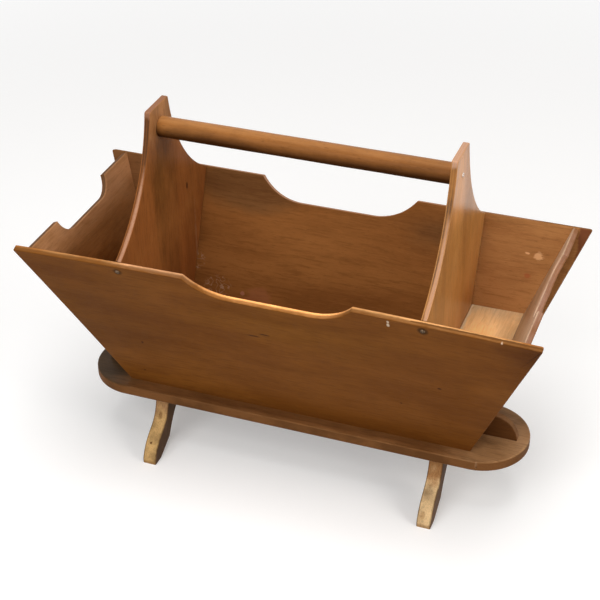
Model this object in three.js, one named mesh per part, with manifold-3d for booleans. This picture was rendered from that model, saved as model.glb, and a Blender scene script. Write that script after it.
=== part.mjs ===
// Magazine basket: a leaning-sided plywood trough with two dividers, a dowel handle, a plinth and two feet.
// Millimetres, +Z up. Origin: on the ground in the middle of the footprint.
// +X runs along the length and +Y to the back.

import * as THREE from 'three';
import { mergeVertices } from 'three/addons/utils/BufferGeometryUtils.js';
import Module from 'manifold-3d';

const wasm = await Module();
wasm.setup();

// Trough, over its outer faces
const troughLength = 510;
const troughFloorLength = 362;
const troughWidth = 218;
const troughFloorWidth = 68;
const troughHeight = 183.5;
const plyThickness = 6;
const endInset = 12.4;
const panelCorner = 3;

// How far the long panels are sprung inwards at the middle of their upper edges
const panelBow = 4;

// Hand cut-outs in the upper edges, depths measured down the panel
const sideCutWidth = 163.5;
const sideCutFloorWidth = 76;
const sideCutDepth = 22.2;
const endCutWidth = 101.5;
const endCutFloorWidth = 59;
const endCutDepth = 17.3;

// Dividers, upright boards that carry the handle
const dividerSpacing = 295;
const dividerThickness = 6;
const dividerTopWidth = 40;
const dividerCorner = 2.5;
const flankRadius = 158;

// Handle dowel, and how far the dividers rise over its axis
const handleDiameter = 20.4;
const handleChamfer = 1;
const handleHeight = 279.6;
const riseOverHandle = 23;

// Bottom board inside the trough, and the raised floors of the two end compartments
const bottomThickness = 9;
const endFloorThickness = 6;
const endFloorHeight = 100.8;

// Plinth under the trough
const plinthLength = 462;
const plinthWidth = 97.4;
const plinthThickness = 11;

// Quarter-round webs on the plinth, under the overhanging end panels
const webRadius = 24.7;
const webShoulder = 16;
const webThickness = 8;

// Feet, two bracket-shaped cross-pieces
const footSpacing = 295;
const footThickness = 14.5;
const footHeight = 65;
const footSpan = 144;
const footNeckWidth = 64.5;
const soleWidth = 13;
const archHeight = 44;
const toeHeight = 4.5;
const archKneeShares = { x: 0.6, y: 0.27 };
const bendShares = { x: 0.45, y: 0.45 };
const waistShare = 0.6;
const knuckleShare = 0.78;

// Eased edges, the gap in every glued or drilled joint, and how far a cut runs past what it cuts
const easing = 0.8;
const plinthEasing = 1.4;
const clearance = 0.3;
const overrun = 5;

// Round-head wood screws for dividers and handle
const roundHeadDiameter = 4.8;
const roundHeadRise = 1.5;
const roundShankDiameter = 2.8;
const dividerScrewLength = 19;
const dividerScrewDrop = 7.5;
const handleScrewLength = 32;

// Countersunk wood screws for plinth and feet
const flatHeadDiameter = 7;
const flatShankDiameter = 3.5;
const flatHeadSink = 0.4;
const plinthScrewLength = 17.5;
const plinthScrewSpacingX = 190;
const plinthScrewSpacingY = 30;
const footScrewLength = 26;
const footScrewSpacing = 36;
const screwPoint = 4;
const slotWidth = 0.9;
const slotDepth = 0.9;

// Panel pins, punched in below the surface
const pinDiameter = 1.6;
const pinLength = 18;
const pinSink = 1;
const pinPoint = 1.5;
const endPinInset = 40;
const bottomPinSpacing = 115;
const bottomPinCount = 3;

// Faces on round work
const screwSides = 12;
const pinSides = 8;
const handleSides = 48;
const arcSteps = 14;
const bendSteps = 6;
const domeSteps = 4;
const bowSteps = 16;
const riseSteps = 4;

// What follows from the sizes above
const sideLean = Math.atan((troughWidth - troughFloorWidth) / 2 / troughHeight);
const endLean = Math.atan((troughLength - troughFloorLength) / 2 / troughHeight);
const plinthTop = footHeight + plinthThickness;
const sideFoot = troughFloorWidth / 2;
const endFoot = troughLength / 2 - endInset - troughHeight * Math.tan(endLean);
const sawReach = troughLength + troughWidth;
const slopeLength = troughHeight / Math.cos(sideLean);
const endSlopeLength = troughHeight / Math.cos(endLean);

const stainedPly = new THREE.MeshStandardMaterial({ color: 0x7a4b26, roughness: 0.5, metalness: 0 });
const dividerPly = new THREE.MeshStandardMaterial({ color: 0x8f5a30, roughness: 0.45, metalness: 0 });
const plinthWood = new THREE.MeshStandardMaterial({ color: 0x7b5433, roughness: 0.55, metalness: 0 });
const handleWood = new THREE.MeshStandardMaterial({ color: 0x9c6635, roughness: 0.42, metalness: 0 });
const paleWood = new THREE.MeshStandardMaterial({ color: 0xd9a673, roughness: 0.7, metalness: 0 });
const footWood = new THREE.MeshStandardMaterial({ color: 0xb98b57, roughness: 0.65, metalness: 0 });
const agedSteel = new THREE.MeshStandardMaterial({ color: 0x8b8378, roughness: 0.4, metalness: 0.9 });

// How far a long panel is sprung in, at x along the trough and a share of the way up its slope
function bowAt(x, share) {
  return panelBow * (1 - (2 * x / troughLength) ** 2) * share;
}

// Point on a long panel's inner face in the plane across the trough, set back by an allowance
function innerFacePoint(x, share, allowance) {
  const depth = plyThickness + allowance + bowAt(x, share);
  const up = slopeLength * share;
  return new THREE.Vector2(
    sideFoot + up * Math.sin(sideLean) - depth * Math.cos(sideLean),
    up * Math.cos(sideLean) + depth * Math.sin(sideLean));
}

// How far an end panel's inner face lies from the trough's middle, at a height over the plinth
function innerHalfLength(height) {
  return endFoot - plyThickness / Math.cos(endLean) + height * Math.tan(endLean);
}

function toSolid(geometry) {
  const bare = geometry.clone();
  bare.deleteAttribute('normal');
  bare.deleteAttribute('uv');
  const merged = mergeVertices(bare);
  const vertProperties = new Float32Array(merged.attributes.position.array);
  const triVerts = new Uint32Array(merged.index.array);
  return new wasm.Manifold(new wasm.Mesh({ numProp: 3, vertProperties, triVerts }));
}

function toGeometry(solid) {
  const cut = solid.getMesh();
  const geometry = new THREE.BufferGeometry();
  geometry.setAttribute('position', new THREE.BufferAttribute(cut.vertProperties, 3));
  geometry.setIndex(new THREE.BufferAttribute(cut.triVerts, 1));
  geometry.computeVertexNormals();
  return geometry;
}

function carve(geometry, cutters) {
  let solid = toSolid(geometry);
  for (const cutter of cutters) {
    solid = solid.subtract(toSolid(cutter));
  }
  return toGeometry(solid);
}

function named(name, geometry, material) {
  const mesh = new THREE.Mesh(geometry, material);
  mesh.name = name;
  return mesh;
}

// A board sawn to an outline in XY, its faces at z = 0 and z = -thickness, with eased edges
function board(outline, thickness, ease) {
  const geometry = new THREE.ExtrudeGeometry(new THREE.Shape(outline), {
    depth: thickness - 2 * ease,
    bevelSize: ease,
    bevelThickness: ease,
    bevelOffset: -ease,
    bevelSegments: 1,
  });
  return geometry.translate(0, 0, ease - thickness);
}

// Points given from the bottom middle up the right half, and their mirror image back down the left
function bothHalves(right) {
  const left = right.map((point) => new THREE.Vector2(-point.x, point.y)).reverse();
  return [...right, ...left];
}

function arcPoints(centre, radius, from, to, steps) {
  const arc = new THREE.EllipseCurve(centre.x, centre.y, radius, radius, from, to, to < from);
  return arc.getPoints(steps);
}

function bendPoints(from, corner, to) {
  return new THREE.QuadraticBezierCurve(from, corner, to).getPoints(bendSteps);
}

// All that lies beyond a plane, as a block to saw away
function blockBeyond(point, normal) {
  const block = new THREE.BoxGeometry(sawReach, sawReach, sawReach);
  block.translate(0, 0, sawReach / 2);
  block.applyQuaternion(new THREE.Quaternion().setFromUnitVectors(new THREE.Vector3(0, 0, 1), normal));
  return block.translate(point.x, point.y, point.z);
}

// Cuts a piece between the end panels back to their inner faces
function endMitres(allowance) {
  const out = new THREE.Vector3(Math.cos(endLean), 0, -Math.sin(endLean));
  const right = new THREE.Vector3(innerHalfLength(0) - allowance / Math.cos(endLean), 0, 0);
  const left = right.clone().negate();
  return [blockBeyond(right, out), blockBeyond(left, new THREE.Vector3(-out.x, 0, out.z))];
}

// Frame of a leaning wall: x along its length, y up its outer face from the plinth, z straight out of it
function wallFrame(turn, foot, lean) {
  const frame = new THREE.Matrix4().makeRotationZ(turn);
  frame.multiply(new THREE.Matrix4().makeTranslation(0, -foot, 0));
  return frame.multiply(new THREE.Matrix4().makeRotationX(Math.PI / 2 + lean));
}

const frontFrame = wallFrame(0, sideFoot, sideLean);
const backFrame = wallFrame(Math.PI, sideFoot, sideLean);
const rightFrame = wallFrame(Math.PI / 2, endFoot, endLean);
const leftFrame = wallFrame(-Math.PI / 2, endFoot, endLean);

// Sprung sheet in a long wall's own frame, from a depth below its outer face out to a height over it
function sprungSheet(depth, height) {
  const below = plyThickness + overrun;
  const length = troughLength + 2 * overrun;
  const rise = below + slopeLength + below;
  const sheet = new THREE.BoxGeometry(length, rise, depth + height, bowSteps, riseSteps, 1);
  sheet.translate(0, rise / 2 - below, (height - depth) / 2);
  const points = sheet.attributes.position;
  for (let index = 0; index < points.count; index += 1) {
    const share = points.getY(index) / slopeLength;
    points.setZ(index, points.getZ(index) - bowAt(points.getX(index), share));
  }
  return sheet;
}

// Cuts a piece between the long panels back to their inner faces
function sideMitres(allowance) {
  const beyond = sprungSheet(plyThickness + allowance, sawReach);
  return [frontFrame, backFrame].map((frame) => beyond.clone().applyMatrix4(frame));
}

function movedInto(frame, geometries) {
  const inverse = frame.clone().invert();
  return geometries.map((geometry) => geometry.clone().applyMatrix4(inverse));
}

// Upper edge with a sunken hand cut-out: sharp lips, hollow ends and a level floor
function cutOutPoints(top, cutWidth, floorWidth, depth) {
  const run = (cutWidth - floorWidth) / 2;
  const radius = (run * run + depth * depth) / (2 * depth);
  const sweep = Math.asin(run / radius);
  const centre = new THREE.Vector2(floorWidth / 2, top - depth + radius);
  return arcPoints(centre, radius, sweep - Math.PI / 2, -Math.PI / 2, bendSteps);
}

function cornerPoints(corner, before, after, radius) {
  const from = before.clone().sub(corner).setLength(radius).add(corner);
  const to = after.clone().sub(corner).setLength(radius).add(corner);
  return bendPoints(from, corner, to);
}

function wallOutline(topHalf, footHalf, slopeLength, below, cut) {
  const taper = (topHalf - footHalf) / slopeLength;
  const foot = new THREE.Vector2(footHalf - below * taper, -below);
  const corner = new THREE.Vector2(topHalf, slopeLength);
  const middle = new THREE.Vector2(0, slopeLength);
  const rounded = cornerPoints(corner, foot, middle, panelCorner);
  return bothHalves([foot, ...rounded, ...cutOutPoints(slopeLength, ...cut)]);
}

function screwProfile(head, shankRadius, length) {
  return [...head, new THREE.Vector2(shankRadius, head.at(-1).y),
    new THREE.Vector2(shankRadius, screwPoint - length), new THREE.Vector2(0, -length)];
}

// Lathe profiles run down from the top of the head; the screw's axis is z, its head's seat is z = 0
function turned(profile, sides) {
  const upward = [...profile].reverse();
  return new THREE.LatheGeometry(upward, sides).rotateX(Math.PI / 2);
}

function slot(top, headDiameter) {
  const cutter = new THREE.BoxGeometry(headDiameter + slotDepth, slotWidth, slotDepth + clearance);
  return cutter.translate(0, 0, top + (clearance - slotDepth) / 2);
}

function roundHeadScrew(length) {
  const radius = roundHeadDiameter / 2;
  const dome = (radius * radius + roundHeadRise * roundHeadRise) / (2 * roundHeadRise);
  const centre = new THREE.Vector2(0, roundHeadRise - dome);
  const head = arcPoints(centre, dome, Math.PI / 2, Math.PI / 2 - Math.asin(radius / dome), domeSteps);
  head[0].x = 0;
  const screw = turned(screwProfile(head, roundShankDiameter / 2, length), screwSides);
  return carve(screw, [slot(roundHeadRise, roundHeadDiameter)]);
}

function flatHeadScrew(length) {
  const radius = flatHeadDiameter / 2;
  const neck = flatShankDiameter / 2;
  const rim = new THREE.Vector2(radius, 0);
  const head = [new THREE.Vector2(0, 0), rim, new THREE.Vector2(neck, neck - radius)];
  const screw = turned(screwProfile(head, neck, length), screwSides);
  return carve(screw, [slot(0, flatHeadDiameter)]);
}

function panelPin() {
  const radius = pinDiameter / 2;
  const profile = [new THREE.Vector2(0, 0), new THREE.Vector2(radius, 0),
    new THREE.Vector2(radius, pinPoint - pinLength), new THREE.Vector2(0, -pinLength)];
  return turned(profile, pinSides);
}

// Straight hole down from z = 0, a little wider and deeper than the fixing that it takes
function drilling(diameter, length, rise, sides) {
  const radius = diameter / 2 + clearance;
  const hole = new THREE.CylinderGeometry(radius, radius, length + clearance + rise, sides);
  return hole.rotateX(Math.PI / 2).translate(0, 0, (rise - length - clearance) / 2);
}

function countersinking(length) {
  const radius = flatHeadDiameter / 2 + clearance;
  const neck = flatShankDiameter / 2 + clearance;
  const top = flatHeadSink + clearance;
  const end = -length - clearance;
  const profile = [new THREE.Vector2(0, top), new THREE.Vector2(radius, top), new THREE.Vector2(radius, 0),
    new THREE.Vector2(neck, neck - radius), new THREE.Vector2(neck, end), new THREE.Vector2(0, end)];
  return turned(profile, screwSides);
}

// Where each fixing sits: a matrix that carries z = 0 to its head's seat, with +z out of the wood
function seatAt(x, y, z, axis) {
  const turn = new THREE.Quaternion().setFromUnitVectors(new THREE.Vector3(0, 0, 1), axis);
  return new THREE.Matrix4().compose(new THREE.Vector3(x, y, z), turn, new THREE.Vector3(1, 1, 1));
}

const sides = { front: frontFrame, back: backFrame };
const ends = { left: -1, right: 1 };
const depths = { front: -1, back: 1 };

const dividerScrews = [];
for (const [side, frame] of Object.entries(sides)) {
  for (const [end, sign] of Object.entries(ends)) {
    const turnedSign = side === 'front' ? sign : -sign;
    const x = turnedSign * dividerSpacing / 2;
    const up = slopeLength - dividerScrewDrop;
    const seat = new THREE.Matrix4().makeTranslation(x, up, clearance - bowAt(x, up / slopeLength));
    const name = `divider_screw_${side}_${end}`;
    dividerScrews.push({ name, side, end, seat: frame.clone().multiply(seat) });
  }
}

const handleScrews = Object.entries(ends).map(([end, sign]) => {
  const x = sign * (dividerSpacing + dividerThickness) / 2;
  const seat = seatAt(x, 0, handleHeight, new THREE.Vector3(sign, 0, 0));
  return { name: `handle_screw_${end}`, end, seat };
});

const plinthScrews = [];
for (const [side, ySign] of Object.entries(depths)) {
  for (const [end, sign] of Object.entries(ends)) {
    const seat = seatAt(sign * plinthScrewSpacingX / 2, ySign * plinthScrewSpacingY / 2,
      flatHeadSink - plinthThickness, new THREE.Vector3(0, 0, -1));
    plinthScrews.push({ name: `plinth_screw_${side}_${end}`, seat });
  }
}

const footScrews = [];
for (const [side, ySign] of Object.entries(depths)) {
  for (const [end, sign] of Object.entries(ends)) {
    const seat = seatAt(sign * footSpacing / 2, ySign * footScrewSpacing / 2, -flatHeadSink,
      new THREE.Vector3(0, 0, 1));
    footScrews.push({ name: `foot_screw_${side}_${end}`, end, seat });
  }
}

// Pins through a side panel into the edge of an end panel, each one's middle in the middle of the ply
const endPins = [];
const endPinRise = (plyThickness + pinLength) / 2 * Math.sin(sideLean);
for (const [side, frame] of Object.entries(sides)) {
  for (const [end, sign] of Object.entries(ends)) {
    for (const [level, height] of [['upper', troughHeight - endPinInset], ['lower', endPinInset]]) {
      const turnedSign = side === 'front' ? sign : -sign;
      const edge = innerHalfLength(height + endPinRise) + plyThickness / 2 / Math.cos(endLean);
      const up = height / Math.cos(sideLean);
      const sink = pinSink + bowAt(edge, height / troughHeight);
      const seat = new THREE.Matrix4().makeTranslation(turnedSign * edge, up, -sink);
      const name = `end_pin_${side}_${end}_${level}`;
      endPins.push({ name, side, end, seat: frame.clone().multiply(seat) });
    }
  }
}

// Level pins through a side panel into the bottom board
const bottomPins = [];
for (const [side, ySign] of Object.entries(depths)) {
  for (let index = 0; index < bottomPinCount; index += 1) {
    const x = (index - (bottomPinCount - 1) / 2) * bottomPinSpacing;
    const height = bottomThickness / 2;
    const y = ySign * (sideFoot + height * Math.tan(sideLean) - pinSink / Math.cos(sideLean));
    const seat = seatAt(x, y, height, new THREE.Vector3(0, ySign, 0));
    bottomPins.push({ name: `bottom_pin_${side}_${index + 1}`, side, seat });
  }
}

function placedHoles(fixings, hole) {
  return fixings.map((fixing) => hole.clone().applyMatrix4(fixing.seat));
}

const pinHole = drilling(pinDiameter, pinLength, clearance, pinSides);
const dividerScrewHole = drilling(roundShankDiameter, dividerScrewLength, plyThickness, screwSides);
const handleScrewHole = drilling(roundShankDiameter, handleScrewLength, dividerThickness, screwSides);

// Front and back: one long panel each, sawn square out of a sprung sheet with raked ends
function sidePanel(side, frame) {
  const below = plyThickness * Math.tan(sideLean) + overrun;
  const cut = [sideCutWidth, sideCutFloorWidth, sideCutDepth];
  const outline = wallOutline(troughLength / 2, troughFloorLength / 2, slopeLength, below, cut);
  const reach = plyThickness + panelBow + overrun;
  const through = { depth: reach + overrun, bevelEnabled: false };
  const sawn = new THREE.ExtrudeGeometry(new THREE.Shape(outline), through).translate(0, 0, -reach);
  const ground = blockBeyond(new THREE.Vector3(), new THREE.Vector3(0, 0, -1));
  const holes = [
    ...placedHoles(dividerScrews.filter((screw) => screw.side === side), dividerScrewHole),
    ...placedHoles([...endPins, ...bottomPins].filter((pin) => pin.side === side), pinHole),
  ];
  const sprung = toSolid(sprungSheet(plyThickness, 0)).intersect(toSolid(sawn));
  const geometry = carve(toGeometry(sprung), movedInto(frame, [ground, ...holes]));
  const panel = named(`${side}_panel`, geometry, stainedPly);
  panel.applyMatrix4(frame);
  return panel;
}

// Left and right: a shorter panel each, mitred to fit between the long ones
function endPanel(end, frame) {
  const below = plyThickness * Math.tan(endLean) + overrun;
  const cut = [endCutWidth, endCutFloorWidth, endCutDepth];
  const outline = wallOutline(troughWidth / 2, troughWidth / 2, endSlopeLength, below, cut);
  const ground = blockBeyond(new THREE.Vector3(), new THREE.Vector3(0, 0, -1));
  const holes = placedHoles(endPins.filter((pin) => pin.end === end), pinHole);
  const cutters = movedInto(frame, [ground, ...sideMitres(clearance), ...holes]);
  const panel = named(`${end}_end_panel`, carve(board(outline, plyThickness, easing), cutters), stainedPly);
  panel.applyMatrix4(frame);
  return panel;
}

// Half outline of a divider: up the side panel's inner face, round its hollow flank and over the top
function dividerOutline() {
  const face = (dividerSpacing - dividerThickness) / 2;
  const low = innerFacePoint(face, 0, clearance);
  const rim = innerFacePoint(face, 1, clearance);
  const foot = low.clone().lerp(rim, (bottomThickness - low.y) / (rim.y - low.y));
  const top = new THREE.Vector2(dividerTopWidth / 2, handleHeight + riseOverHandle);
  const chord = top.clone().sub(rim);
  const rise = Math.sqrt(flankRadius * flankRadius - chord.lengthSq() / 4);
  const out = new THREE.Vector2(chord.y, -chord.x).normalize();
  const centre = rim.clone().add(top).multiplyScalar(1 / 2).addScaledVector(out, rise);
  const from = Math.atan2(rim.y - centre.y, rim.x - centre.x);
  const to = Math.atan2(top.y - centre.y, top.x - centre.x);
  const turn = 2 * Math.PI;
  const stop = (to + turn) % turn + dividerCorner / flankRadius;
  const flank = arcPoints(centre, flankRadius, (from + turn) % turn, stop, arcSteps);
  const over = new THREE.Vector2(top.x - dividerCorner, top.y);
  return bothHalves([foot, ...flank, ...bendPoints(flank.at(-1), top, over).slice(1)]);
}

function divider(end, sign) {
  const standing = new THREE.Matrix4().makeBasis(
    new THREE.Vector3(0, 1, 0), new THREE.Vector3(0, 0, 1), new THREE.Vector3(1, 0, 0));
  standing.setPosition((sign * dividerSpacing + dividerThickness) / 2, 0, 0);
  const holes = [
    ...placedHoles(dividerScrews.filter((screw) => screw.end === end), dividerScrewHole),
    ...placedHoles(handleScrews.filter((screw) => screw.end === end), handleScrewHole),
  ];
  const geometry = carve(board(dividerOutline(), dividerThickness, easing), movedInto(standing, holes));
  const panel = named(`${end}_divider`, geometry, dividerPly);
  panel.applyMatrix4(standing);
  return panel;
}

// Handle dowel, turned about its own axis, with a blind pilot hole in each end
function handle() {
  const radius = handleDiameter / 2;
  const half = (dividerSpacing - dividerThickness) / 2;
  const bore = roundShankDiameter / 2 + clearance;
  const depth = half + dividerThickness - handleScrewLength - clearance;
  const right = [
    new THREE.Vector2(radius, half - handleChamfer),
    new THREE.Vector2(radius - handleChamfer, half),
    new THREE.Vector2(bore, half),
    new THREE.Vector2(bore, depth),
    new THREE.Vector2(0, depth),
  ];
  const left = right.map((point) => new THREE.Vector2(point.x, -point.y)).reverse();
  const dowel = named('handle', new THREE.LatheGeometry([...left, ...right], handleSides), handleWood);
  dowel.rotation.z = Math.PI / 2;
  dowel.position.z = handleHeight;
  return dowel;
}

// Bottom board: lies on the plinth, and the four walls are glued and pinned round it
function bottomBoard() {
  const geometry = new THREE.BoxGeometry(troughLength, troughWidth, bottomThickness);
  geometry.translate(0, 0, bottomThickness / 2);
  const holes = [
    ...placedHoles(bottomPins, pinHole),
    ...placedHoles(plinthScrews, drilling(flatShankDiameter, plinthScrewLength, 0, screwSides)),
  ];
  const mitres = [...sideMitres(clearance), ...endMitres(clearance)];
  return named('bottom_board', carve(geometry, [...mitres, ...holes]), paleWood);
}

// Raised floor of an end compartment: wedged between divider, end panel and side panels
function endFloor(end, sign) {
  const inner = (dividerSpacing + dividerThickness) / 2 + clearance;
  const length = troughLength / 2 - inner;
  const geometry = new THREE.BoxGeometry(length, troughWidth, endFloorThickness);
  geometry.translate(sign * (inner + length / 2), 0, endFloorHeight - endFloorThickness / 2);
  const mitres = [...sideMitres(clearance), ...endMitres(clearance)];
  return named(`${end}_compartment_floor`, carve(geometry, mitres), paleWood);
}

// Plinth with half-round ends, countersunk above for the feet and below for the bottom board
function plinth() {
  const radius = plinthWidth / 2;
  const centre = new THREE.Vector2(plinthLength / 2 - radius, 0);
  const right = arcPoints(centre, radius, -Math.PI / 2, Math.PI / 2, 2 * arcSteps);
  const holes = [
    ...placedHoles(footScrews, countersinking(footScrewLength)),
    ...placedHoles(plinthScrews, countersinking(plinthScrewLength)),
  ];
  return named('plinth', carve(board(bothHalves(right), plinthThickness, plinthEasing), holes), plinthWood);
}

// Web in the middle of the plinth's end, its inner edge raked to the end panel
function web(end, sign) {
  const foot = endFoot + clearance / Math.cos(endLean);
  const head = foot + webRadius * Math.tan(endLean);
  const shoulder = head + webShoulder;
  const round = arcPoints(new THREE.Vector2(shoulder, 0), webRadius, 0, Math.PI / 2, arcSteps);
  const outline = [new THREE.Vector2(foot, 0), ...round, new THREE.Vector2(head, webRadius)];
  const standing = new THREE.Matrix4().makeBasis(
    new THREE.Vector3(sign, 0, 0), new THREE.Vector3(0, 0, 1), new THREE.Vector3(0, -sign, 0));
  standing.setPosition(0, -sign * webThickness / 2, 0);
  const piece = named(`${end}_web`, board(outline, webThickness, easing), plinthWood);
  piece.applyMatrix4(standing);
  return piece;
}

// Half outline of a foot, from the top of the arch out to the sole, and back up the toe and neck
function footOutline() {
  const half = footSpan / 2;
  const neck = footNeckWidth / 2;
  const soleInner = half - soleWidth;
  const archTop = new THREE.Vector2(0, archHeight);
  const archKnee = new THREE.Vector2(soleInner * archKneeShares.x, archHeight * archKneeShares.y);
  const archShoulder = new THREE.Vector2(archKnee.x / 2, archHeight);
  const bend = new THREE.Vector2(neck + (half - neck) * bendShares.x, footHeight * bendShares.y);
  const waist = new THREE.Vector2(neck, footHeight * waistShare);
  const slope = bend.clone().sub(waist);
  const knuckle = bend.clone().addScaledVector(slope, (half - bend.x) * knuckleShare / slope.x);
  const toe = new THREE.Vector2(half, toeHeight);
  return bothHalves([
    ...bendPoints(archTop, archShoulder, archKnee),
    new THREE.Vector2(soleInner, 0),
    new THREE.Vector2(half, 0),
    ...bendPoints(toe, knuckle, bend),
    ...bendPoints(bend, waist, new THREE.Vector2(neck, footHeight)).slice(1),
  ]);
}

function foot(end, sign) {
  const standing = new THREE.Matrix4().makeBasis(
    new THREE.Vector3(0, 1, 0), new THREE.Vector3(0, 0, 1), new THREE.Vector3(1, 0, 0));
  standing.setPosition((sign * footSpacing + footThickness) / 2, 0, 0);
  const raise = new THREE.Matrix4().makeTranslation(0, 0, plinthTop);
  const pilots = placedHoles(footScrews.filter((screw) => screw.end === end),
    drilling(flatShankDiameter, footScrewLength, 0, screwSides));
  const raised = pilots.map((pilot) => pilot.applyMatrix4(raise));
  const geometry = carve(board(footOutline(), footThickness, easing), movedInto(standing, raised));
  const piece = named(`${end}_foot`, geometry, footWood);
  piece.applyMatrix4(standing);
  return piece;
}

function placed(fixings, geometry) {
  return fixings.map((fixing) => {
    const mesh = named(fixing.name, geometry, agedSteel);
    mesh.applyMatrix4(fixing.seat);
    return mesh;
  });
}

const trough = new THREE.Group();
trough.position.z = plinthTop;
trough.add(plinth(), bottomBoard());
trough.add(sidePanel('front', frontFrame), sidePanel('back', backFrame));
trough.add(endPanel('left', leftFrame), endPanel('right', rightFrame));
trough.add(handle());
for (const [end, sign] of Object.entries(ends)) {
  trough.add(divider(end, sign), endFloor(end, sign), web(end, sign));
}
trough.add(...placed(dividerScrews, roundHeadScrew(dividerScrewLength)));
trough.add(...placed(handleScrews, roundHeadScrew(handleScrewLength)));
trough.add(...placed(plinthScrews, flatHeadScrew(plinthScrewLength)));
trough.add(...placed(footScrews, flatHeadScrew(footScrewLength)));
trough.add(...placed([...endPins, ...bottomPins], panelPin()));

const basket = new THREE.Group();
basket.add(trough, foot('left', -1), foot('right', 1));

export default basket;
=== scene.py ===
import math

import bpy
from mathutils import Matrix, Vector, noise


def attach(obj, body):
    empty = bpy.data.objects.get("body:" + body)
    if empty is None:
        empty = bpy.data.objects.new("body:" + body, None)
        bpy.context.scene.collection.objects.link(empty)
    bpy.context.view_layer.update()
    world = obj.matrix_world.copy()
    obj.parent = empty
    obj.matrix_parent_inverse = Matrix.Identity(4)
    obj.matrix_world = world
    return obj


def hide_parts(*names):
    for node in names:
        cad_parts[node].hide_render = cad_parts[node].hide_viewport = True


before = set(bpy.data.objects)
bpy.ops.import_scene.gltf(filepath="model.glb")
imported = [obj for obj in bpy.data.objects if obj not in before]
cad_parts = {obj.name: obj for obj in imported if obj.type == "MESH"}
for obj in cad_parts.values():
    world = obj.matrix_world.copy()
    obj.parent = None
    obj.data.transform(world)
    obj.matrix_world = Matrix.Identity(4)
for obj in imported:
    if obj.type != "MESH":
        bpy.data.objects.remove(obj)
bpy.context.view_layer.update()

# Plinth: one flat board with half-round ends, stained brown and varnished. Its upper edge is eased
# by plane and rubbed paler. It lies on the two feet, and one small chip is missing from its front edge.
MM = 0.001
PLINTH_LENGTH = 462 * MM
PLINTH_WIDTH = 97.4 * MM
PLINTH_THICKNESS = 11 * MM
FOOT_HEIGHT = 65 * MM
PLINTH_TOP = FOOT_HEIGHT + PLINTH_THICKNESS
PLINTH_EASING = 1.5 * MM
PLINTH_WEAR = 3.2 * MM
PLINTH_STOCK = (0.3, 0.2, 0.0)
CHIP = (190.5 * MM, -48.2 * MM)
CHIP_DEPTH = 1.0 * MM
CHIP_HEIGHT = 7.5 * MM
CHIP_TILT = (0.08, -0.05, 0.3)
RUBBED_BAND = 1.0 * MM
GRAIN_RELIEF = 0.12 * MM
VARNISH_TINT = (1.0, 0.72, 0.5, 1.0)
TOUCHING = 0.02 * MM
FLAT = 0.99


def deselect():
    """Leaves nothing selected, in object mode."""
    if bpy.context.object and bpy.context.object.mode != "OBJECT":
        bpy.ops.object.mode_set(mode="OBJECT")
    bpy.ops.object.select_all(action="DESELECT")


def pick(piece):
    """Selects one object alone and makes it the active one."""
    deselect()
    piece.select_set(True)
    bpy.context.view_layer.objects.active = piece


def arc(centre, radius, start, stop, steps):
    """Points along an arc in degrees, both ends included."""
    turns = [math.radians(start + (stop - start) * step / steps) for step in range(steps + 1)]
    return [(centre[0] + radius * math.cos(turn), centre[1] + radius * math.sin(turn)) for turn in turns]


def both_halves(right):
    """A right half that runs upwards, and its mirror image running back down."""
    return right + [(-x, y) for x, y in reversed(right) if x > TOUCHING]


def select_faces(piece, chosen):
    """In edit mode, selects the faces for which chosen(face) is true."""
    bpy.ops.mesh.select_all(action="DESELECT")
    bpy.ops.mesh.select_mode(type="FACE")
    bpy.ops.object.mode_set(mode="OBJECT")
    for face in piece.data.polygons:
        face.select = chosen(face)
    bpy.ops.object.mode_set(mode="EDIT")


def sawn_board(name, outline, thickness, easing):
    """A board sawn to an outline, its faces at z = 0 and z = -thickness, its edges rounded by easing."""
    deselect()
    bpy.ops.mesh.primitive_plane_add(size=MM)
    piece = bpy.context.object
    piece.name = name
    bpy.ops.object.mode_set(mode="EDIT")
    bpy.ops.mesh.select_mode(type="VERT")
    bpy.ops.mesh.select_all(action="SELECT")
    bpy.ops.mesh.merge(type="CENTER")
    bpy.ops.transform.translate(value=(*outline[0], 0))
    for before, after in zip(outline, outline[1:] + outline[:1]):
        step = (after[0] - before[0], after[1] - before[1], 0)
        bpy.ops.mesh.extrude_vertices_move(TRANSFORM_OT_translate={"value": step})
    bpy.ops.mesh.select_all(action="SELECT")
    bpy.ops.mesh.remove_doubles(threshold=TOUCHING)
    bpy.ops.mesh.edge_face_add()
    bpy.ops.mesh.extrude_region_move(TRANSFORM_OT_translate={"value": (0, 0, -thickness)})
    bpy.ops.mesh.select_all(action="SELECT")
    bpy.ops.mesh.normals_make_consistent(inside=False)
    if easing:
        select_faces(piece, lambda face: abs(face.normal.z) > FLAT)
        bpy.ops.mesh.bevel(offset=easing, segments=3, profile=0.5, affect="EDGES", clamp_overlap=True)
        select_faces(piece, lambda face: abs(face.normal.z) > FLAT)
        bpy.ops.mesh.inset(thickness=RUBBED_BAND, use_even_offset=True)
    bpy.ops.object.mode_set(mode="OBJECT")
    return piece


def edge_distance(point, outline):
    """How far a point in the board's plane lies from the sawn outline."""
    nearest = math.inf
    for (ax, ay), (bx, by) in zip(outline, outline[1:] + outline[:1]):
        run = bx - ax
        rise = by - ay
        squared = run * run + rise * rise
        share = 0.0
        if squared:
            share = max(0.0, min(1.0, ((point.x - ax) * run + (point.y - ay) * rise) / squared))
        nearest = min(nearest, math.hypot(point.x - ax - share * run, point.y - ay - share * rise))
    return nearest


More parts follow.
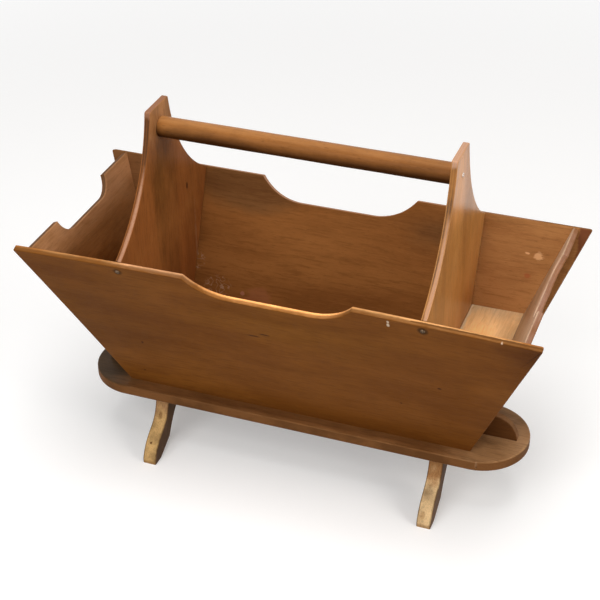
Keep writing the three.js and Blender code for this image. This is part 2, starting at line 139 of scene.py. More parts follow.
def mark_grain(piece, outline, wear_reach, stock, place=None, along="X"):
    """Stores where each point lies in its board: x along the grain, y across it, z through the board,
    counted on from the place in the stock that the board is cut from. Stores how near an edge it is, too."""
    home = (place or Matrix()).inverted()
    piece.data.attributes.new("grain", "FLOAT_VECTOR", "POINT")
    piece.data.attributes.new("wear", "FLOAT", "POINT")
    grain = piece.data.attributes["grain"]
    wear = piece.data.attributes["wear"]
    for vertex in piece.data.vertices:
        own = home @ vertex.co
        run, across = (own.x, own.y) if along == "X" else (own.y, own.x)
        grain.data[vertex.index].vector = (run + stock[0], across + stock[1], own.z + stock[2])
        wear.data[vertex.index].value = max(0.0, 1.0 - edge_distance(own, outline) / wear_reach)


def use_modifier(piece, kind, **settings):
    """Adds a modifier, sets it and applies it."""
    pick(piece)
    bpy.ops.object.modifier_add(type=kind)
    modifier = piece.modifiers[-1]
    for key, value in settings.items():
        setattr(modifier, key, value)
    bpy.ops.object.modifier_apply(modifier=modifier.name)


def cut_away(piece, cutter, keep=False):
    """Cuts one piece by another, which is then thrown away unless it cuts again."""
    pick(piece)
    bpy.ops.object.mode_set(mode="EDIT")
    bpy.ops.mesh.select_all(action="SELECT")
    bpy.ops.mesh.quads_convert_to_tris()
    bpy.ops.object.mode_set(mode="OBJECT")
    use_modifier(piece, "BOOLEAN", operation="DIFFERENCE", solver="MANIFOLD", object=cutter)
    if not keep:
        bpy.data.objects.remove(cutter)


def settle(piece, place=None):
    """Carries a piece to its place, in its mesh, and leaves the object at the origin."""
    pick(piece)
    piece.matrix_world = (place or Matrix()) @ piece.matrix_world
    bpy.ops.object.transform_apply(location=True, rotation=True, scale=True)


def smooth(piece):
    """Shades rounded edges smooth and keeps the faces of the board flat."""
    pick(piece)
    bpy.ops.object.shade_smooth_by_angle(angle=math.radians(40))
    use_modifier(piece, "WEIGHTED_NORMAL", keep_sharp=True, weight=80)


def hand_over(piece, finish, record_slot, *nodes):
    """Gives a piece its material, hangs it under the root and hides the CAD nodes that it stands for."""
    piece.data.materials.clear()
    piece.data.materials.append(finish)
    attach(piece, "root")
    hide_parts(*nodes)


def srgb(red, green, blue):
    """A colour as read off a screen, 0 to 255, as the linear colour that the shader wants."""
    def linear(value):
        value /= 255
        return value / 12.92 if value <= 0.04045 else ((value + 0.055) / 1.055) ** 2.4
    return (linear(red), linear(green), linear(blue), 1.0)


def darker(colour, share):
    """The same colour with only a share of its light."""
    return [channel * share for channel in colour[:3]] + [1.0]


class Finish:
    """Builds a material: each call adds a node and gives back its output."""

    def __init__(self, name):
        self.material = bpy.data.materials.new(name)
        self.material.use_nodes = True
        self.tree = self.material.node_tree
        self.shader = self.tree.nodes["Principled BSDF"]

    def node(self, kind, sockets, out=0, **settings):
        made = self.tree.nodes.new("ShaderNode" + kind)
        for key, value in settings.items():
            setattr(made, key, value)
        for key, value in sockets.items():
            self.feed(made.inputs[key], value)
        return made.outputs[out]

    def feed(self, socket, value):
        if isinstance(value, bpy.types.NodeSocket):
            self.tree.links.new(value, socket)
        else:
            socket.default_value = value

    def attribute(self, name, out="Vector"):
        return self.node("Attribute", {}, out, attribute_name=name)

    def placed(self, vector, scale=(1, 1, 1), shift=(0, 0, 0)):
        return self.node("Mapping", {"Vector": vector, "Scale": scale, "Location": shift})

    def noise(self, vector, scale, detail=3.0, roughness=0.5):
        sockets = {"Vector": vector, "Scale": scale, "Detail": detail, "Roughness": roughness}
        return self.node("TexNoise", sockets, "Fac")

    def span(self, value, low, high, to_low=0.0, to_high=1.0):
        sockets = {"Value": value, "From Min": low, "From Max": high, "To Min": to_low, "To Max": to_high}
        return self.node("MapRange", sockets, "Result", interpolation_type="SMOOTHSTEP", clamp=True)

    def math(self, operation, first, second=0.0):
        return self.node("Math", {0: first, 1: second}, operation=operation)

    def mix(self, factor, first, second, blend="MIX"):
        return self.node("Mix", {0: factor, 6: first, 7: second}, 2, data_type="RGBA", blend_type=blend)

    def length(self, vector):
        return self.node("VectorMath", {0: vector}, "Value", operation="LENGTH")

    def finish(self, colour, roughness, height, depth, **fixed):
        self.feed(self.shader.inputs["Base Color"], colour)
        self.feed(self.shader.inputs["Roughness"], roughness)
        for key, value in fixed.items():
            self.shader.inputs[key.replace("_", " ")].default_value = value
        bump = self.node("Bump", {"Height": height, "Distance": depth, "Strength": 1.0})
        self.feed(self.shader.inputs["Normal"], bump)
        return self.material


def spot(centre, size, colour, strength=1.0, ragged=0.5, grit=60.0, blend="MIX", scribble=0.0, core=0.5):
    """A mark on a board. Its centre and size run along the grain, across it, and out through the face.
    Grit says how finely its rim is ragged, and within its core it is at full strength. With MULTIPLY
    it only lightens or darkens the wood, and with scribble it is a tangle of thin scratches."""
    def paint(f, grain, stock, tone):
        scale = [1 / reach for reach in size]
        shift = [-(start + place) / reach for start, place, reach in zip(stock, centre, size)]
        far = f.length(f.placed(grain, scale, shift))
        rough = f.noise(f.placed(grain, (grit * 0.4, grit, grit)), 1.0, 5.0, 0.7)
        rough = f.math("MULTIPLY", f.math("SUBTRACT", rough, 0.5), ragged * 2)
        share = f.span(f.math("ADD", far, rough), 1.0, core, 0.0, strength)
        if scribble:
            wave = f.noise(f.placed(grain, (scribble, scribble, scribble)), 1.0, 1.0)
            line = f.span(f.math("ABSOLUTE", f.math("SUBTRACT", wave, 0.5)), 0.03, 0.01)
            share = f.math("MULTIPLY", share, line)
        return f.mix(share, tone, colour, blend)
    return paint


def wash(centre, size, gain, ragged=0.5, grit=30.0, core=0.0):
    """A soft patch where the wood is darker or lighter, as far as its size, without covering its figure."""
    return spot(centre, size, (*gain, 1), 1.0, ragged, grit, "MULTIPLY", 0.0, core)


def wood(name, tones, edge, thickness, stock, pore_depth=0.5, streak=0.5, gloss=0.42, shine=0.1, dirt=0.5,
         plies=0, marks=(), edge_marks=(), outer=(0.7, 1.5), inner=(0.7, 1.5)):
    """Wood in three tones, with its grain along x of its board, and marks on its faces and sawn edges.
    The stain of the two faces runs over the sawn edge, between the depths in millimetres at outer and
    inner. Stock is the place that the board is cut from, the same one as mark_grain is given."""
    dark, middle, light = tones
    f = Finish(name)
    grain = f.attribute("grain")

    # The fibres wander a little, and every finer figure follows them
    wander = f.noise(f.placed(grain, (3, 9, 9)), 1.0, 2.0)
    ripple = f.noise(f.placed(grain, (34, 60, 60)), 1.0, 2.0)
    sway = f.math("ADD", f.math("MULTIPLY", f.math("SUBTRACT", wander, 0.5), 0.02),
                  f.math("MULTIPLY", f.math("SUBTRACT", ripple, 0.5), 0.003))
    flow = f.node("VectorMath", {0: grain, 1: f.node("CombineXYZ", {"Y": sway})}, operation="ADD")
    broad = f.noise(f.placed(flow, (3.5, 26, 26)), 1.0, 4.0, 0.55)
    figure = f.noise(f.placed(flow, (38, 420, 420)), 1.0, 4.0, 0.65)
    fine = f.noise(f.placed(flow, (80, 1100, 1100)), 1.0, 4.0, 0.6)
    pores = f.span(f.noise(f.placed(flow, (150, 1700, 1700)), 1.0, 2.0, 0.6), 0.6, 0.74)
    patches = f.noise(f.placed(grain, (9, 14, 14)), 1.0, 3.0, 0.6)
    grime = f.span(f.noise(f.placed(grain, (26, 26, 26)), 1.0, 5.0, 0.65), 0.55, 0.8)

    # The stained faces, from broad tone down to pores and grime, and then their marks
    tone = f.mix(f.span(broad, 0.34, 0.64), dark, middle)
    tone = f.mix(f.math("MULTIPLY", f.span(patches, 0.42, 0.75), 0.8), tone, light)
    tone = f.mix(f.math("MULTIPLY", f.span(figure, 0.45, 0.68), streak), tone, darker(dark, 0.8))
    tone = f.mix(f.math("MULTIPLY", f.span(fine, 0.48, 0.72), streak * 0.8), tone, light)
    tone = f.mix(f.math("MULTIPLY", pores, pore_depth), tone, darker(dark, 0.3))
    tone = f.mix(f.math("MULTIPLY", grime, dirt * 0.5), tone, darker(dark, 0.5))
    for mark in marks:
        tone = mark(f, grain, stock, tone)

    # Paler wood shows on the sawn edge, between the two stained faces, and where corners are rubbed
    depth = f.node("SeparateXYZ", {"Vector": grain}, "Z")
    sawn = f.math("MINIMUM", f.span(f.math("MULTIPLY", depth, -1.0), outer[0] * MM, outer[1] * MM),
                  f.span(f.math("ADD", depth, thickness), inner[0] * MM, inner[1] * MM))
    rubbed = f.noise(f.placed(grain, (70, 70, 240)), 1.0, 4.0, 0.7)
    near = f.math("ADD", f.attribute("wear", "Fac"), f.math("MULTIPLY", f.math("SUBTRACT", rubbed, 0.5), 0.9))
    corner = f.math("MULTIPLY", f.span(near, 0.75, 1.1), 0.55)
    bare = f.math("MAXIMUM", f.math("MULTIPLY", sawn, f.span(rubbed, 0.2, 0.42, 0.72, 1.0)), corner)
    stretch = f.noise(f.placed(grain, (16, 16, 16)), 1.0, 4.0, 0.65)
    edge_tone = f.mix(f.span(stretch, 0.42, 0.62, 0.0, 0.7), edge, dark)
    for mark in edge_marks:
        edge_tone = mark(f, grain, stock, edge_tone)
    if plies:
        layer = f.math("SINE", f.math("MULTIPLY", depth, plies * math.pi / thickness))
        edge_tone = f.mix(f.span(layer, -0.9, 0.7, 0.3, 0.0), edge_tone, middle)
    edge_tone = f.mix(f.math("MULTIPLY", f.span(fine, 0.45, 0.7), 0.35), edge_tone, dark)
    tone = f.mix(bare, tone, edge_tone)

    # Bare wood is duller, and pores lie a little deeper than the figure round them
    polish = f.noise(f.placed(grain, (30, 60, 60)), 1.0, 3.0, 0.6)
    dull = f.math("ADD", f.math("MULTIPLY", polish, 0.5), f.math("MULTIPLY", bare, 0.6))
    roughness = f.span(dull, 0.1, 0.9, gloss - 0.08, gloss + 0.25)
    height = f.math("SUBTRACT", f.math("MULTIPLY", figure, 0.5), f.math("MULTIPLY", pores, 0.6))
    return f.finish(tone, roughness, height, GRAIN_RELIEF, Specular_IOR_Level=shine,
                    Specular_Tint=VARNISH_TINT)


plinth_centre = PLINTH_LENGTH / 2 - PLINTH_WIDTH / 2
plinth_outline = both_halves(arc((plinth_centre, 0), PLINTH_WIDTH / 2, -90, 90, steps=40))
plinth = sawn_board("plinth_board", plinth_outline, PLINTH_THICKNESS, PLINTH_EASING)
plinth_place = Matrix.Translation((0, 0, PLINTH_TOP))
settle(plinth, plinth_place)
deselect()
bpy.ops.mesh.primitive_cylinder_add(vertices=3, radius=CHIP_DEPTH, depth=2 * CHIP_HEIGHT,
                                    location=(*CHIP, PLINTH_TOP), rotation=CHIP_TILT)
cut_away(plinth, bpy.context.object)
mark_grain(plinth, plinth_outline, PLINTH_WEAR, PLINTH_STOCK, plinth_place)
smooth(plinth)
chipped = spot((*CHIP, -0.003), (0.0013, 0.0022, 0.006), srgb(172, 130, 94), 0.8, 0.3, 300)
plinth_marks = [
    wash((-0.225, 0, 0), (0.075, 0.09, 0.02), (0.48, 0.66, 0.95), 0.4, 40, 0.4),
    # Painted light: the right end is lighter, where the light from the right falls on it
    wash((0.205, 0, 0), (0.085, 0.1, 0.02), (1.9, 2.4, 3.2), 0.4, 40, 0.4),
    wash((0, -0.046, -0.001), (0.17, 0.005, 0.003), (1.35, 1.4, 1.45), 0.8, 60, 0.4),
    chipped,
]
plinth_tones = (srgb(88, 55, 28), srgb(118, 76, 41), srgb(140, 95, 56))
plinth_wood = wood("plinth_wood", plinth_tones, srgb(122, 80, 45), PLINTH_THICKNESS, PLINTH_STOCK,
                   gloss=0.4, shine=0.12, marks=plinth_marks, edge_marks=[chipped])
hand_over(plinth, plinth_wood, "plinth_wood", "plinth")

# Feet: two bracket-shaped cross-pieces sawn from raw board with an arch between their toes, screwed
# up to the plinth from above. Their upper ends are darker.
FOOT_SPACING = 295 * MM
FOOT_THICKNESS = 14.5 * MM
FOOT_HALF = 72 * MM
FOOT_NECK = 32.25 * MM
FOOT_EASING = 0.9 * MM
FOOT_WEAR = 3 * MM
SOLE = 13 * MM
TOE_HEIGHT = 4.5 * MM
ARCH_HEIGHT = 44 * MM
ARCH_KNEE = (0.6, 0.27)
FLANK_BEND = (0.45, 0.45)
WAIST_SHARE = 0.6
KNUCKLE_SHARE = 0.78


def bend(first, corner, last, steps=8):
    """Points along a curve that leaves first towards corner and arrives at last from it."""
    points = []
    for step in range(steps + 1):
        t = step / steps
        weights = ((1 - t) ** 2, 2 * t * (1 - t), t ** 2)
        points.append(tuple(weights[0] * first[axis] + weights[1] * corner[axis] + weights[2] * last[axis]
                            for axis in (0, 1)))
    return points


def copied(pattern, name):
    """A copy of a pattern, with its own mesh."""
    piece = bpy.data.objects.new(name, pattern.data.copy())
    bpy.context.collection.objects.link(piece)
    return piece


def across_place(face, foot):
    """Frame of a board that stands across the basket: x to the back, y up from foot.
    The board's right side is at face."""
    return Matrix(((0, 0, 1, face), (1, 0, 0, 0), (0, 1, 0, foot), (0, 0, 0, 1)))


sole_inner = FOOT_HALF - SOLE
arch_knee = (sole_inner * ARCH_KNEE[0], ARCH_HEIGHT * ARCH_KNEE[1])
foot_bend = (FOOT_NECK + (FOOT_HALF - FOOT_NECK) * FLANK_BEND[0], FOOT_HEIGHT * FLANK_BEND[1])
foot_waist = (FOOT_NECK, FOOT_HEIGHT * WAIST_SHARE)
slope_x = foot_bend[0] - foot_waist[0]
slope_y = foot_bend[1] - foot_waist[1]
run_on = (FOOT_HALF - foot_bend[0]) * KNUCKLE_SHARE / slope_x
foot_knuckle = (foot_bend[0] + slope_x * run_on, foot_bend[1] + slope_y * run_on)
foot_outline = both_halves(
    bend((0.0, ARCH_HEIGHT), (arch_knee[0] / 2, ARCH_HEIGHT), arch_knee)
    + [(sole_inner, 0.0), (FOOT_HALF, 0.0)]
    + bend((FOOT_HALF, TOE_HEIGHT), foot_knuckle, foot_bend)
    + bend(foot_bend, foot_waist, (FOOT_NECK, FOOT_HEIGHT))[1:])
foot_tones = (srgb(70, 46, 28), srgb(88, 60, 38), srgb(106, 76, 48))
# Each foot is darker just above its sole, and at its upper end
darker_sole = spot((0, 0, 0), (0.006, 0.2, 0.1), srgb(150, 108, 66), 0.6, 0.6, 90)
foot_looks = {
    "left": ((0.1, 0.0, 0.0), srgb(210, 170, 112), [
        spot((FOOT_HEIGHT, 0, 0), (0.036, 0.2, 0.1), srgb(178, 132, 96), 0.7, 0.7, 90),
        spot((0.04, -0.046, -0.0075), (0.005, 0.02, 0.0035), srgb(112, 70, 38), 0.6, 0.5, 200),
        spot((0.02, -0.062, -0.0087), (0.0012, 0.012, 0.0016), srgb(84, 46, 22), 0.9, 0.1)]),
    "right": ((0.7, 0.0, 0.0), srgb(232, 196, 146), [
        spot((FOOT_HEIGHT, 0, 0), (0.037, 0.2, 0.1), srgb(164, 112, 66), 0.9, 0.7, 90),
        spot((0.012, -0.07, -0.009), (0.005, 0.02, 0.003), srgb(176, 132, 84), 0.5, 0.9, 200)]),
}
pattern = sawn_board("foot_pattern", foot_outline, FOOT_THICKNESS, FOOT_EASING)
for side, sign in (("left", -1), ("right", 1)):
    stock, pale, foot_marks = foot_looks[side]
    foot_wood = wood(f"{side}_foot_wood", foot_tones, pale, FOOT_THICKNESS, stock, pore_depth=0.4, streak=0.4,
                     gloss=0.6, edge_marks=foot_marks + [darker_sole])
    foot = copied(pattern, f"{side}_foot_bracket")
    standing = across_place((sign * FOOT_SPACING + FOOT_THICKNESS) / 2, 0)
    settle(foot, standing)
    mark_grain(foot, foot_outline, FOOT_WEAR, stock, standing, along="Y")
    smooth(foot)
    hand_over(foot, foot_wood, "foot_wood", f"{side}_foot")
bpy.data.objects.remove(pattern)

# Webs: a quarter-round upright under each overhanging end panel, glued in the middle of the
# plinth's end. The same stained wood as the plinth, given darker tones as painted shade, its curved edge
# rubbed pale.
TROUGH_LENGTH = 510 * MM
TROUGH_FLOOR_LENGTH = 362 * MM
TROUGH_HEIGHT = 183.5 * MM
END_INSET = 12.4 * MM
GAP = 0.3 * MM
WEB_RADIUS = 24.7 * MM
WEB_SHOULDER = 16 * MM
WEB_THICKNESS = 8 * MM
WEB_EASING = 0.8 * MM
WEB_WEAR = 3 * MM

end_lean = math.atan((TROUGH_LENGTH - TROUGH_FLOOR_LENGTH) / 2 / TROUGH_HEIGHT)
end_foot = TROUGH_LENGTH / 2 - END_INSET - TROUGH_HEIGHT * math.tan(end_lean)
web_foot = end_foot + GAP / math.cos(end_lean)
web_head = web_foot + WEB_RADIUS * math.tan(end_lean)
web_curve = arc((web_head + WEB_SHOULDER, 0), WEB_RADIUS, 0, 90, steps=14)
web_outline = [(web_foot, 0.0)] + web_curve + [(web_head, WEB_RADIUS)]
# Painted shade: darker tones than the plinth's, for the shade under the end panels
web_tones = (srgb(84, 52, 26), srgb(104, 64, 32), srgb(124, 82, 46))
pattern = sawn_board("web_pattern", web_outline, WEB_THICKNESS, WEB_EASING)
for side, sign in (("left", -1), ("right", 1)):
    stock = (0.7 * sign, 0.4, 0.0)
    web = copied(pattern, f"{side}_web_piece")
    standing = Matrix(((sign, 0, 0, 0), (0, 0, -sign, -sign * WEB_THICKNESS / 2),
                       (0, 1, 0, PLINTH_TOP), (0, 0, 0, 1)))
    settle(web, standing)
    mark_grain(web, web_outline, WEB_WEAR, stock, standing)
    smooth(web)
    web_wood = wood(f"{side}_web_wood", web_tones, srgb(140, 100, 66), WEB_THICKNESS, stock)
    hand_over(web, web_wood, "plinth_wood", f"{side}_web")
bpy.data.objects.remove(pattern)

# Long panels: front and back, thin plywood boards sawn square to a trapezoid with a sunken hand cut-out,
# stained brown. Age has sprung each one in a little at the middle of its upper edge. Pinned and glued.
DIVIDER_SPACING = 295 * MM
TROUGH_WIDTH = 218 * MM
TROUGH_FLOOR_WIDTH = 68 * MM
PLY = 6 * MM
PLIES = 5
PLY_EASING = 0.8 * MM
PLY_WEAR = 2.6 * MM
PANEL_BOW = 4 * MM
PANEL_CORNER = 3 * MM
SIDE_CUT = (163.5 * MM, 76 * MM, 22.2 * MM)
SCREW_BELOW_RIM = 7.5 * MM
BOW_STEPS = 24
RISE_STEPS = 6

side_lean = math.atan((TROUGH_WIDTH - TROUGH_FLOOR_WIDTH) / 2 / TROUGH_HEIGHT)
side_foot = TROUGH_FLOOR_WIDTH / 2
slope = TROUGH_HEIGHT / math.cos(side_lean)
screw_up = slope - SCREW_BELOW_RIM
bow_cuts = [TROUGH_LENGTH / 2 * (2 * step / BOW_STEPS - 1) for step in range(BOW_STEPS + 1)]
rise_cuts = [slope * step / RISE_STEPS for step in range(RISE_STEPS + 1)]


def wall_place(turn, foot, lean):
    """Frame of a leaning wall: x along it, y up its outer face from the plinth, z out of it."""
    upright = Matrix.Rotation(math.pi / 2 + lean, 4, "X")
    return (Matrix.Translation((0, 0, PLINTH_TOP)) @ Matrix.Rotation(turn, 4, "Z")
            @ Matrix.Translation((0, -foot, 0)) @ upright)


def bow_at(x, share):
    """How far a long panel is sprung in, at x along it and a share of the way up."""
    return PANEL_BOW * (1 - (2 * x / TROUGH_LENGTH) ** 2) * share


def wall_outline(top_half, foot_half, rise, below, cut):
    """Trapezoid with rounded upper corners and a hand cut-out with sharp lips in its upper edge."""
    width, floor_width, depth = cut
    run = (width - floor_width) / 2
    radius = (run * run + depth * depth) / (2 * depth)
    sweep = math.degrees(math.asin(run / radius))
    taper = (top_half - foot_half) / rise
    foot = (foot_half - below * taper, -below)
    corner = Vector((top_half, rise))
    down = (Vector(foot) - corner).normalized() * PANEL_CORNER + corner
    along = corner + Vector((-PANEL_CORNER, 0))
    hollow = arc((floor_width / 2, rise - depth + radius), radius, sweep - 90, -90, steps=12)
    return both_halves([foot] + bend(tuple(down), tuple(corner), tuple(along), steps=6) + hollow)


def slice_board(piece, axis, places):
    """Adds edges across a board so that it can be sprung."""
    pick(piece)
    bpy.ops.object.mode_set(mode="EDIT")
    for place in places:
        bpy.ops.mesh.select_all(action="SELECT")
        centre = [0.0, 0.0, 0.0]
        normal = [0.0, 0.0, 0.0]
        centre[axis] = place
        normal[axis] = 1.0
        bpy.ops.mesh.bisect(plane_co=centre, plane_no=normal)
    bpy.ops.object.mode_set(mode="OBJECT")


def trim(piece, point, normal):
    """Saws off what lies beyond a plane and closes the cut."""
    pick(piece)
    bpy.ops.object.mode_set(mode="EDIT")
    bpy.ops.mesh.select_all(action="SELECT")
    bpy.ops.mesh.bisect(plane_co=point, plane_no=normal, use_fill=True, clear_outer=True)
    bpy.ops.object.mode_set(mode="OBJECT")


def trim_level(piece, foot, lean):
    """Saws the foot of a leaning wall level with the plinth's top, in the wall's own frame."""
    home = wall_place(0.0, foot, lean).inverted()
    trim(piece, home @ Vector((0, 0, PLINTH_TOP)), home.to_3x3() @ Vector((0, 0, -1)))


def spring(piece):
    """Springs a long panel, or what follows its inner face, inwards."""
    for vertex in piece.data.vertices:
        vertex.co.z -= bow_at(vertex.co.x, vertex.co.y / slope)


dark_spot = srgb(64, 36, 16)
pale_chip = srgb(222, 204, 182)
pale_scuff = srgb(196, 160, 132)
front_marks = [
    wash((-DIVIDER_SPACING / 2, screw_up, 0), (0.0056, 0.0056, 0.003), (0.55, 0.58, 0.62), 0.25, 200, 0.55),
    wash((DIVIDER_SPACING / 2, screw_up, 0), (0.0062, 0.0062, 0.003), (0.34, 0.38, 0.42), 0.25, 200, 0.55),
    wash((-0.21, 0.12, 0), (0.16, 0.2, 0.003), (0.8, 0.8, 0.7), 0.8, 16),
    wash((0.02, 0.15, 0), (0.14, 0.05, 0.003), (1.06, 1.12, 1.0), 0.8, 16),
    wash((0.2, 0.02, 0), (0.14, 0.09, 0.003), (0.86, 0.84, 0.84), 0.8, 16),
    wash((0.256, 0.185, 0), (0.06, 0.07, 0.003), (0.55, 0.5, 0.46), 0.5, 30),
    spot((-0.1499, 0.0751, 0), (0.0016, 0.0022, 0.002), dark_spot, 0.9, 0.3, 400),
    spot((-0.1597, 0.0224, 0), (0.0022, 0.0014, 0.002), dark_spot, 0.8, 0.3, 400),
    spot((0.1569, 0.1024, 0), (0.0026, 0.0016, 0.002), dark_spot, 0.9, 0.3, 400),
    spot((0.1169, 0.0626, 0), (0.0014, 0.0014, 0.002), dark_spot, 0.8, 0.3, 400),
    spot((-0.023, 0.1265, 0), (0.009, 0.0015, 0.002), dark_spot, 0.8, 0.6, 300),
    spot((-0.011, 0.132, 0), (0.007, 0.0013, 0.002), dark_spot, 0.9, 0.6, 300),
    spot((0.1158, 0.1938, 0), (0.0015, 0.0024, 0.003), pale_chip, 0.9, 0.2, 400),
    spot((0.1156, 0.1893, 0), (0.0018, 0.003, 0.003), pale_chip, 0.9, 0.2, 400),
    spot((0.2188, 0.1976, 0), (0.0012, 0.0016, 0.003), srgb(222, 192, 164), 0.9, 0.2, 400),
]
front_edges = [
    spot((0.01, 0.18, -0.003), (0.09, 0.02, 0.02), srgb(216, 150, 90), 0.9, 0.3, 60),
    spot((-0.11, 0.2, -0.003), (0.05, 0.03, 0.02), srgb(160, 118, 84), 0.8, 0.5, 60),
    spot((0.16, 0.2, -0.003), (0.11, 0.03, 0.02), srgb(164, 120, 76), 0.8, 0.8, 60),
    wash((0, 0.19, -PLY), (1, 0.2, 0.0034), (3.0, 3.0, 3.0), 0.5, 90),
    spot((0.2, 0.2, -0.0032), (0.09, 0.03, 0.0013), srgb(88, 58, 32), 0.9, 0.9, 160, core=0.7),
]
back_marks = [
    # Painted light: lighter inside the right compartment, which catches more light from the right
    wash((-0.205, 0.14, -PLY), (0.09, 0.16, 0.003), (1.5, 1.8, 2.4), 0.4, 30, 0.5),
    wash((0.1, 0.183, -PLY), (0.07, 0.034, 0.003), (0.68, 0.76, 0.95), 0.5, 30, 0.5),
    wash((-0.11, 0.168, -PLY), (0.05, 0.035, 0.003), (0.72, 0.78, 0.95), 0.8, 30, 0.2),
    # Painted shade: darker inside the left compartment, shaded by the left divider
    wash((0.22, 0.16, -PLY), (0.08, 0.16, 0.003), (0.6, 0.66, 0.9), 0.5, 30, 0.4),
    # Painted shadow on the back panel's end beyond the right end panel
    spot((-0.259, 0.15, -PLY), (0.018, 0.2, 0.003), srgb(100, 54, 34), 0.9, 0.2, 60, core=0.8),
    spot((0.146, 0.099, -PLY), (0.012, 0.012, 0.002), pale_scuff, 0.4, 0.6, 60, scribble=160),
    spot((0.118, 0.076, -PLY), (0.018, 0.014, 0.002), pale_scuff, 0.4, 0.6, 60, scribble=160),
    spot((0.09, 0.0724, -PLY), (0.003, 0.003, 0.002), srgb(176, 116, 92), 0.6, 0.6, 300),
    spot((0.0708, 0.0706, -PLY), (0.02, 0.012, 0.002), srgb(160, 96, 66), 0.4, 0.9, 120),
    spot((-0.197, 0.1655, -PLY), (0.0035, 0.0015, 0.002), srgb(220, 168, 118), 0.8, 0.8, 260),
    spot((-0.208, 0.164, -PLY), (0.005, 0.005, 0.002), srgb(220, 168, 118), 0.8, 1.2, 260),
    spot((-0.1997, 0.1431, -PLY), (0.004, 0.0028, 0.002), srgb(160, 84, 50), 0.6, 0.8, 300),
]
back_edges = [
    spot((0, 0.19, -0.003), (0.27, 0.03, 0.02), srgb(186, 142, 114), 0.85, 0.8, 60),
]
long_looks = {
    "front": dict(stock=(0.0, 0.0, 0.0), tones=(srgb(114, 66, 24), srgb(130, 79, 32), srgb(141, 88, 37)),
                  marks=front_marks, edge_marks=front_edges, outer=(0.8, 3.6), inner=(0, 0.3)),
    "back": dict(stock=(1.3, 0.0, 0.0), tones=(srgb(121, 73, 34), srgb(138, 87, 43), srgb(150, 96, 49)),
                 marks=back_marks, edge_marks=back_edges, outer=(0.7, 1.5), inner=(0, 0.4)),
}
side_outline = wall_outline(TROUGH_LENGTH / 2, TROUGH_FLOOR_LENGTH / 2, slope, PLY, SIDE_CUT)
pattern = sawn_board("long_panel_pattern", side_outline, PLY, PLY_EASING)
trim_level(pattern, side_foot, side_lean)
slice_board(pattern, 0, bow_cuts[1:-1])
slice_board(pattern, 1, rise_cuts[1:-1])
for side, turn in (("front", 0.0), ("back", math.pi)):
    look = long_looks[side]
    stained_ply = wood(f"{side}_stained_plywood", edge=srgb(124, 86, 50), thickness=PLY, plies=PLIES,
                       gloss=0.5, shine=0.04, dirt=0.35, streak=0.55, **look)
    panel = copied(pattern, f"{side}_long_panel")
    mark_grain(panel, side_outline, PLY_WEAR, look["stock"])
    spring(panel)
    settle(panel, wall_place(turn, side_foot, side_lean))
    smooth(panel)
    hand_over(panel, stained_ply, "stained_plywood", f"{side}_panel")
bpy.data.objects.remove(pattern)

# End panels: shorter plywood boards, raked outwards and scribed in between the long ones, each with
# a deeper rounded cut-out to lift it by. Pinned through the long panels.
END_CUT = (101.5 * MM, 59 * MM, 17.3 * MM)
BLOCK_DEPTH = 200 * MM
BLOCK_OVERLAP = (20 * MM, 60 * MM)

end_half = TROUGH_WIDTH / 2
end_slope = TROUGH_HEIGHT / math.cos(end_lean)


def wall_blocks():
    """Two blocks that fill all that lies beyond the long panels' inner faces, to scribe other pieces to."""
    deselect()
    bpy.ops.mesh.primitive_cube_add(size=1, location=(0, slope / 2, (BLOCK_DEPTH - PLY - GAP) / 2),
                                    scale=(TROUGH_LENGTH + BLOCK_OVERLAP[0], slope + BLOCK_OVERLAP[1],
                                           BLOCK_DEPTH + PLY + GAP))
    pattern = bpy.context.object
    settle(pattern)
    slice_board(pattern, 0, bow_cuts)
    slice_board(pattern, 1, rise_cuts)
    spring(pattern)
    blocks = [copied(pattern, "front_block"), copied(pattern, "back_block")]
    for block, turn in zip(blocks, (0.0, math.pi)):
        settle(block, wall_place(turn, side_foot, side_lean))
    bpy.data.objects.remove(pattern)
    return blocks


scribes = wall_blocks()
end_tones = (srgb(121, 76, 38), srgb(141, 91, 51), srgb(158, 106, 63))
end_rim = wash((0, end_slope, -PLY), (0.2, 0.05, 0.003), (1.5, 1.65, 1.9), 0.5, 30, 0.3)
end_looks = {
    # Painted light and shade: the inner face is lighter at its rim and darker towards the bottom and back,
    # painted shade cast by the left divider
    "left": (srgb(92, 66, 46), 0.08, [
        wash((0, 0.19, -PLY), (0.2, 0.05, 0.004), (1.15, 1.25, 1.5), 0.5, 30, 0.2),
        wash((0.05, 0.1, -PLY), (0.12, 0.09, 0.004), (0.84, 0.72, 0.56), 0.5, 30, 0.4),
        wash((-0.05, 0.07, -PLY), (0.13, 0.12, 0.004), (0.45, 0.42, 0.36), 0.5, 30, 0.35)]),
    # Painted reflection: the inner face is washed grey-pink as a painted sheen, and the edge tone is pinkish
    # grey, partly bare wood and partly painted sheen
    "right": (srgb(158, 118, 98), 0.12, [
        wash((0, 0.1, -PLY), (0.3, 0.3, 0.004), (1.6, 2.5, 4.6), 0.2, 30, 0.5)]),
}
end_outline = wall_outline(end_half, end_half, end_slope, PLY, END_CUT)
pattern = sawn_board("end_panel_pattern", end_outline, PLY, PLY_EASING)
trim_level(pattern, end_foot, end_lean)
for side, turn in (("left", -math.pi / 2), ("right", math.pi / 2)):
    edge, shine, marks = end_looks[side]
    stock = (0.5 * turn, 0.6, 0.0)
    end_ply = wood(f"{side}_end_plywood", end_tones, edge, PLY, stock, plies=PLIES, gloss=0.4, shine=shine,
                   dirt=0.35, streak=0.4, marks=[end_rim] + marks)
    panel = copied(pattern, f"{side}_end_board")
    place = wall_place(turn, end_foot, end_lean)
    settle(panel, place)
    for block in scribes:
        cut_away(panel, block, keep=True)
    mark_grain(panel, end_outline, PLY_WEAR, stock, place)
    smooth(panel)
    hand_over(panel, end_ply, "stained_plywood", f"{side}_end_panel")
